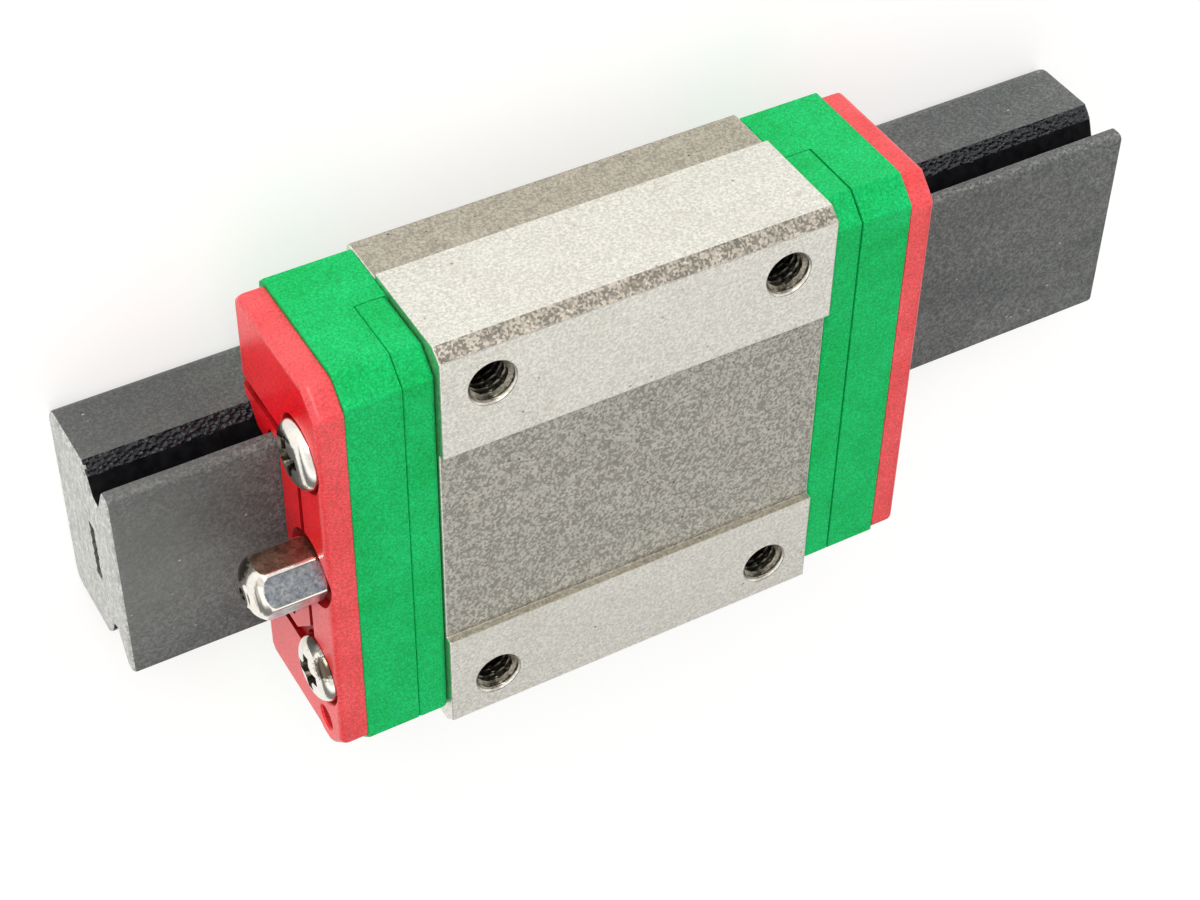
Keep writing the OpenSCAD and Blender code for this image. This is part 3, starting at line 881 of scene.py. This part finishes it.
def seal_cutters(face):
    """The seal's rail opening, lip groove, screw pockets, nipple pocket and dimple."""
    back, past = SEAL_LOW.x - PAST, face + PAST
    mouth = face + 0.2
    gap_y = RAIL_HALF_W + SEAL_GAP
    opening = prism(rail_outline(SEAL_GAP, SEAL_TONGUE), [(back, 0), (past, 0)])
    below = block((back, -gap_y, -PAST), (past, gap_y, WALL_FOOT_Z))
    cutters = [lip_groove(face), opening, below]
    for side in (-1, 1):
        cutters.append(lathe_at([
            (face - 0.75, 0), (face - 0.75, SCREW_POCKET_R - 0.12), (face - 0.1, SCREW_POCKET_R),
            (mouth, SCREW_POCKET_R + 0.2), (mouth, 0)
        ], side * SCREW_Y, SCREW_Z))
        cutters.append(rod(back, past, side * SCREW_Y, SCREW_Z, SCREW_HOLE_R))
    cutters.append(lathe_at([
        (face - 0.5, 0), (face - 0.5, NIPPLE_POCKET_R - 0.3), (mouth, NIPPLE_POCKET_R + 0.1),
        (mouth, 0)
    ], 0, PORT_Z))
    cutters.append(rod(back, past, 0, PORT_Z, PORT_R))
    cutters.append(lathe_at([
        (face - 0.45, 0), (face - 0.4, 0.5), (face - 0.15, 0.85), (mouth, 1.0), (mouth, 0)
    ], DIMPLE_Y, DIMPLE_Z))
    return cutters


def make_seal(name, node, front):
    """A wiper seal with rounded face edges and a small bump on its +Y edge."""
    half, top, foot = SEAL_HALF_W, SEAL_HIGH.z, SEAL_LOW.z
    face = SEAL_HIGH.x
    bump_y = half + 0.25
    bump = [
        (half, DIMPLE_Z - 1.2, 0.5), (bump_y, DIMPLE_Z - 0.7, 0.5), (bump_y, DIMPLE_Z + 0.3, 0.3)
    ]
    foot_corners = [(half - FOOT_CUT, foot, 0.2), (half, foot + FOOT_CUT, 0.2)]
    top_corners = [(half, top - CAP_CHAMFER, 0.5), (half - CAP_CHAMFER, top, 0.6)]
    outline = foot_corners + bump + top_corners
    outline += [(-y, z, radius) for y, z, radius in reversed(foot_corners + top_corners)]
    mesh = prism(outline, round_end(SEAL_LOW.x, 0.1, -1, 2) + round_end(face, SEAL_ROUND, 1, 5))
    obj = end_piece(name, mesh, seal_cutters(face), front)
    edge, sunk, flat = range(3)

    def choose(centre, normal):
        y = abs(centre.y)
        from_chamfer = (half + top - CAP_CHAMFER - y - centre.z) / 1.41
        margin = min(half - y, top - centre.z, centre.z - foot, from_chamfer)
        if margin < SEAL_ROUND + 0.1:
            return edge
        # Sunk faces take the red with painted shade, and the flat front face the red with painted
        # light.
        return sunk if abs(centre.x) < face - 0.08 else flat

    settle(obj, "carriage", [RED, RED_PAINTED_SHADE, RED_FACE_PAINTED_LIGHT], [node], choose)


def cross_recess(x, turn):
    """The four-winged driver recess: two crossing wedges narrowing with depth, and a cone."""
    depth = 1.0
    mouth = x + 0.3
    floor_size = (x - depth, 0.6, 0.24)
    mouth_size = (mouth, 1.5, 0.42)
    wings = []
    for quarter in (0, 1):
        mesh = bmesh.new()
        rings = []
        for at, length, width in (floor_size, mouth_size):
            signs = ((1, 1), (-1, 1), (-1, -1), (1, -1))
            rings.append([mesh.verts.new((at, sy * length, sz * width)) for sy, sz in signs])
        for i in range(4):
            j = (i + 1) % 4
            mesh.faces.new((rings[0][i], rings[0][j], rings[1][j], rings[1][i]))
        mesh.faces.new(rings[0])
        mesh.faces.new(rings[1])
        bmesh.ops.recalc_face_normals(mesh, faces=mesh.faces)
        matrix = Matrix.Rotation(turn + quarter * math.pi / 2, 3, "X")
        bmesh.ops.rotate(mesh, verts=mesh.verts, matrix=matrix)
        wings.append(mesh)
    cone = [(x - depth - 0.2, 0), (x - depth, 0.42), (mouth, 0.86), (mouth, 0)]
    wings.append(lathe(cone, CONE_SEGMENTS))
    return wings


def make_screw(name, node, y, front, turn):
    """A pan-head cap screw, with its driver recess turned by this many radians."""
    seat = SCREW_HIGH.x - SCREW_HEAD_T
    tip = SCREW_LOW.x
    radius = SCREW_HEAD_R
    rim = 0.6
    profile = [
        (tip, 0), (tip, SCREW_SHANK_R - 0.25), (tip + 0.25, SCREW_SHANK_R),
        (seat - 0.01, SCREW_SHANK_R), (seat, SCREW_SHANK_R), (seat, radius - 0.1),
        (seat + 0.08, radius - 0.02)
    ]
    dome_steps = 9
    for k in range(dome_steps + 1):
        angle = math.radians(4 + 86 * k / dome_steps)
        height = (SCREW_HEAD_T - rim) * math.sin(angle)
        profile.append((seat + rim + height, radius * math.cos(angle) ** 0.5))
    profile.append((SCREW_HIGH.x, 0))
    mesh = lathe(profile, HEAD_SEGMENTS)
    cutters = cross_recess(SCREW_HIGH.x, turn)
    for part in [mesh] + cutters:
        bmesh.ops.translate(part, verts=part.verts, vec=(0, y, SCREW_Z))
    obj = end_piece(name, mesh, cutters, front, angle=28)
    plate, recess = range(2)

    def choose(centre, normal):
        inside = math.hypot(centre.y - y, centre.z - SCREW_Z) < 1.45
        # Faces inside the driver recess take the near-black painted shade.
        return recess if inside and seat + 0.2 < abs(centre.x) < SCREW_HIGH.x - 0.14 else plate

    settle(obj, "carriage", [NICKEL, RECESS_PAINTED_SHADE], [node], choose)


def nipple_rows():
    """The nipple's (x, radius) rows from the shank's open end over the nose and down the bore."""
    corner = HEX_AF / math.sqrt(3)
    flat = HEX_AF / 2
    tip = NIPPLE_HIGH.x
    nose = [
        (HEX_BASE_X, corner - 0.15), (HEX_BASE_X + 0.1, corner - 0.05),
        (HEX_END_X - 0.6, corner - 0.05), (HEX_END_X - 0.4, corner - 0.06),
        (HEX_END_X - 0.2, corner - 0.13), (HEX_END_X, flat), (HEX_END_X + 0.2, flat - 0.16),
        (HEX_END_X + 0.38, flat - 0.36), (HEX_END_X + 0.53, flat - 0.6), (tip - 0.2, 1.14),
        (tip - 0.12, 0.95), (tip - 0.04, 0.85), (tip, 0.76)
    ]
    shank = PORT_R - 0.01
    row_length = 0.05
    rows = [(NIPPLE_LOW.x, SHANK_BORE_R), (NIPPLE_LOW.x, shank), (HEX_BASE_X, shank)]
    for (x0, r0), (x1, r1) in zip(nose, nose[1:]):
        count = max(1, round((x1 - x0) / row_length))
        rows += [(x0 + (x1 - x0) * k / count, r0 + (r1 - r0) * k / count) for k in range(count)]
    seat_x = tip - 0.65
    chamber_end = HEX_BASE_X - 0.3
    rows += [
        nose[-1], (tip, INLET_R), (seat_x, INLET_R), (seat_x, CHAMBER_R),
        (chamber_end, CHAMBER_R), (chamber_end, SHANK_BORE_R)
    ]
    return rows


def make_nipple():
    """A hexagon turned down to a rounded nose, with its shank and bore, as one closed grid."""
    segments = 180
    sixth = math.pi / 3
    mesh = bmesh.new()
    rings = []
    for x, radius in nipple_rows():
        ring = []
        for i in range(segments):
            angle = 2 * math.pi * i / segments
            from_flat = (angle + math.pi / 6) % sixth - math.pi / 6
            reach = min(radius, HEX_AF / 2 / math.cos(from_flat))
            y, z = reach * math.cos(angle), PORT_Z + reach * math.sin(angle)
            ring.append(mesh.verts.new((x, y, z)))
        rings.append(ring)
    for ring, following in zip(rings, rings[1:] + rings[:1]):
        for i in range(segments):
            j = (i + 1) % segments
            mesh.faces.new((ring[i], following[i], following[j], ring[j]))
    bmesh.ops.recalc_face_normals(mesh, faces=mesh.faces)
    obj = as_object(mesh, "nipple")
    smooth(obj, 24)
    bright, dull, brown = range(3)

    def choose(centre, normal):
        along_flat = HEX_BASE_X < centre.x < HEX_END_X and abs(normal.x) < 0.02
        angle = math.degrees(math.atan2(normal.z, normal.y)) % 60
        if not along_flat or 2 < angle < 58:
            return bright
        # The -Y flat takes the brown painted reflection, the other flats the dull nickel.
        return brown if normal.y < -SQUARE_ON else dull

    materials = [NICKEL, FLAT, FLAT_PAINTED_REFLECTION]
    settle(obj, "carriage", materials, ["nipple_body"], choose)


def ragged_slot(end):
    """The torn slot in the rail's sawn end."""
    count = 24
    half_width = 2.25
    low_z, high_z = 5.15, 5.95
    low_edge, high_edge = [], []
    for i in range(count + 1):
        y = -half_width + 2 * half_width * i / count
        low_edge.append((y, low_z + 0.22 * noise.noise(Vector((y * 2.2, 0, 0))), 0))
        high_edge.append((y, high_z + 0.3 * noise.noise(Vector((y * 2.6, 5, 0))), 0))
    return prism(low_edge + high_edge[::-1], [(end - 3, 0), (end + PAST, 0)])


def make_rail():
    """The plastic transport rail, with torn skin in its grooves and rounded sawn ends."""
    outline = rail_outline(0, rough_steps=6)
    step = 0.2
    margin = 0.4
    low, high = RAIL_LOW.x, RAIL_HIGH.x
    end_round = 0.26
    count = round((high - low - 2 * margin) / step)
    middle = [(low + margin + (high - low - 2 * margin) * k / count, 0) for k in range(count + 1)]
    ends = round_end(low, end_round, -1, 3), round_end(high, end_round, 1, 3)
    mesh = prism(outline, ends[0] + middle + ends[1])
    tear_y, tear_z = 0.67, 0.74
    for vert in mesh.verts:
        y, z = abs(vert.co.y), vert.co.z
        wave = noise.noise(Vector((vert.co.x * 0.35, vert.co.y * 0.5, z * 0.5)))
        vert.co.z += 0.02 * wave if z > 1.5 else 0
        on_wall = KNEE_Y - 0.05 < y < RAIL_HALF_W - 0.1 and WALL_FOOT_Z < z < KNEE_Z + 0.05
        if on_wall:
            lump = noise.fractal(vert.co * 1.9, 0.9, 2.0, 4)
            push = 0.12 * lump
            vert.co.y -= math.copysign(push * tear_y, vert.co.y)
            vert.co.z -= push * tear_z
    obj = as_object(mesh, "rail")
    cut(obj, [ragged_slot(high)])
    smooth(obj, 30)
    skin, rough, sawn, deep = range(4)

    def choose(centre, normal):
        y = abs(centre.y)
        at_end = centre.x > high - end_round or centre.x < low + end_round
        if at_end and abs(normal.x) > 0.35:
            return sawn
        if KNEE_Y - 0.02 < y < RAIL_HALF_W - 0.03 and WALL_FOOT_Z < centre.z < KNEE_Z + 0.1:
            return rough
        in_groove = y < RAIL_HALF_W - 0.15 and KNEE_Z < centre.z < GROOVE_MOUTH_Z + 0.05
        # Faces deep in the groove take the near-black painted shade.
        return deep if in_groove and abs(normal.x) < 0.5 else skin

    materials = [BLACK, BLACK_ROUGH, BLACK_CUT, BLACK_PAINTED_SHADE]
    settle(obj, "transport_rail", materials, ["dummy_rail"], choose)


def ball_centres(node):
    """The centre of each loose ball in a CAD node, found from its separate islands."""
    same_place = 1e-7
    mesh = bmesh.new()
    mesh.from_mesh(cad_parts[node].data)
    bmesh.ops.remove_doubles(mesh, verts=mesh.verts, dist=same_place)
    waiting = set(mesh.verts)
    centres = []
    while waiting:
        seed = min(waiting, key=lambda v: v.index)
        island = {seed}
        edge = [seed]
        while edge:
            vert = edge.pop()
            for link in vert.link_edges:
                other = link.other_vert(vert)
                if other not in island:
                    island.add(other)
                    edge.append(other)
        waiting -= island
        low = Vector([min(v.co[i] for v in island) for i in range(3)])
        high = Vector([max(v.co[i] for v in island) for i in range(3)])
        centres.append((low + high) / 2 / MM)
    mesh.free()
    return centres


def make_balls(name, node):
    """One side's balls, each where the CAD has it."""
    mesh = bmesh.new()
    for centre in ball_centres(node):
        place = Matrix.Translation(centre)
        bmesh.ops.create_icosphere(mesh, subdivisions=4, radius=BALL_R, matrix=place)
    obj = as_object(mesh, name)
    smooth(obj, 60)
    settle(obj, "carriage", [BALL_STEEL], [node])


def repaint(node, material):
    """Gives a CAD node that keeps its own shape a procedural material."""
    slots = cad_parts[node].data.materials
    if not slots:
        slots.append(material)
    for index in range(len(slots)):
        slots[index] = material


# ---------------------------------------------------------------- the scene

STUDIO_WHITE = (1, 0.995, 0.985, 1)


def make_stage():
    """A plain pale floor, just under the rail."""
    floor_size = 3
    gap = 0.00002
    bpy.ops.mesh.primitive_plane_add(size=floor_size, location=(0, 0, -gap))
    floor = bpy.context.object
    floor.name = "floor"
    p = Paint("floor_paper", Roughness=0.9, Specular_IOR_Level=0.1, Emission_Color=STUDIO_WHITE,
              Emission_Strength=0.54)
    dark, pale = (0.5, 0.5, 0.495, 1), (0.54, 0.54, 0.535, 1)
    p.feed("Base Color", p.blend(p.cloud(0.02, detail=3), dark, pale))
    floor.data.materials.append(p.material)


def make_lights():
    """A big soft light above the -Y side, a dimmer far side and floor level, and a small lamp.

    A dark patch high up is there for the nipple's upper -Y flat to reflect.
    """
    world = bpy.data.worlds.new("studio")
    bpy.context.scene.world = world
    world.use_nodes = True
    tree = world.node_tree
    toward = tree.nodes.new("ShaderNodeTexCoord").outputs["Generated"]

    def along(direction, low, high, to_low, to_high):
        """A ramp over how far a ray points along a direction."""
        dot = tree.nodes.new("ShaderNodeVectorMath")
        dot.operation = "DOT_PRODUCT"
        dot.inputs[1].default_value = direction
        tree.links.new(toward, dot.inputs[0])
        ramp = tree.nodes.new("ShaderNodeMapRange")
        ramp.interpolation_type = "SMOOTHSTEP"
        tree.links.new(dot.outputs["Value"], ramp.inputs[0])
        for index, value in enumerate((low, high, to_low, to_high), 1):
            ramp.inputs[index].default_value = value
        return ramp.outputs[0]

    overhead = (0, -0.45, 0.9)
    dark_patch = (-0.34, -0.25, 0.91)
    strength = along(overhead, 0, 0.38, 0.22, 1.3)
    for other in (along(overhead, 0.42, 0.8, 1, 0.72), along(dark_patch, 0.87, 0.96, 1, 0.2)):
        product = tree.nodes.new("ShaderNodeMath")
        product.operation = "MULTIPLY"
        tree.links.new(strength, product.inputs[0])
        tree.links.new(other, product.inputs[1])
        strength = product.outputs[0]
    tree.links.new(strength, tree.nodes["Background"].inputs["Strength"])
    tree.nodes["Background"].inputs["Color"].default_value = STUDIO_WHITE
    data = bpy.data.lights.new("key", "AREA")
    data.size = 0.13
    data.energy = 0.47
    lamp = bpy.data.objects.new("key", data)
    lamp.location = (0.11, -0.28, 0.18)
    lamp.rotation_euler = (-lamp.location).to_track_quat("-Z", "Y").to_euler()
    bpy.context.scene.collection.objects.link(lamp)


def make_camera():
    """The viewpoint: close, above the block, and rolled to put the -Y side at the top."""
    place = Vector((58.28, -108.92, 110.13)) * MM
    target = Vector((-0.25, 1.96, 10.73)) * MM
    picture_up = Vector((-0.3334, -0.7208, -0.6078))
    forward = (target - place).normalized()
    right = forward.cross(picture_up).normalized()
    up = right.cross(forward)
    data = bpy.data.cameras.new("camera")
    data.lens = 75.455
    data.sensor_width = 36
    data.clip_start = 0.005
    camera = bpy.data.objects.new("camera", data)
    turn = Matrix((right, up, -forward)).transposed()
    camera.matrix_world = Matrix.Translation(place) @ turn.to_4x4()
    bpy.context.scene.collection.objects.link(camera)
    bpy.context.scene.camera = camera


make_camera()
make_stage()
make_lights()
bpy.context.scene.view_settings.view_transform = "Standard"

make_block()
make_cap("front_cap", "front_end_cap", True)
make_cap("rear_cap", "rear_end_cap", False)
make_guide("front_guide", "front_return_guide", True)
make_guide("rear_guide", "rear_return_guide", False)
make_seal("front_seal", "front_end_seal", True)
make_seal("rear_seal", "rear_end_seal", False)
make_screw("screw_front_left", "front_left_screw", SCREW_Y, True, 0.21)
make_screw("screw_front_right", "front_right_screw", -SCREW_Y, True, 0.35)
make_screw("screw_rear_left", "rear_left_screw", SCREW_Y, False, 0.5)
make_screw("screw_rear_right", "rear_right_screw", -SCREW_Y, False, 1.3)
make_nipple()
make_rail()
make_balls("balls_left", "left_ball_circuit")
make_balls("balls_right", "right_ball_circuit")
for cad_node in ("left_retainer_wire", "right_retainer_wire", "nipple_check_ball", "nipple_spring"):
    repaint(cad_node, BALL_STEEL)
for cad_node in ("left_return_tube", "right_return_tube"):
    repaint(cad_node, WHITE)
repaint("rear_port_plug", NICKEL)
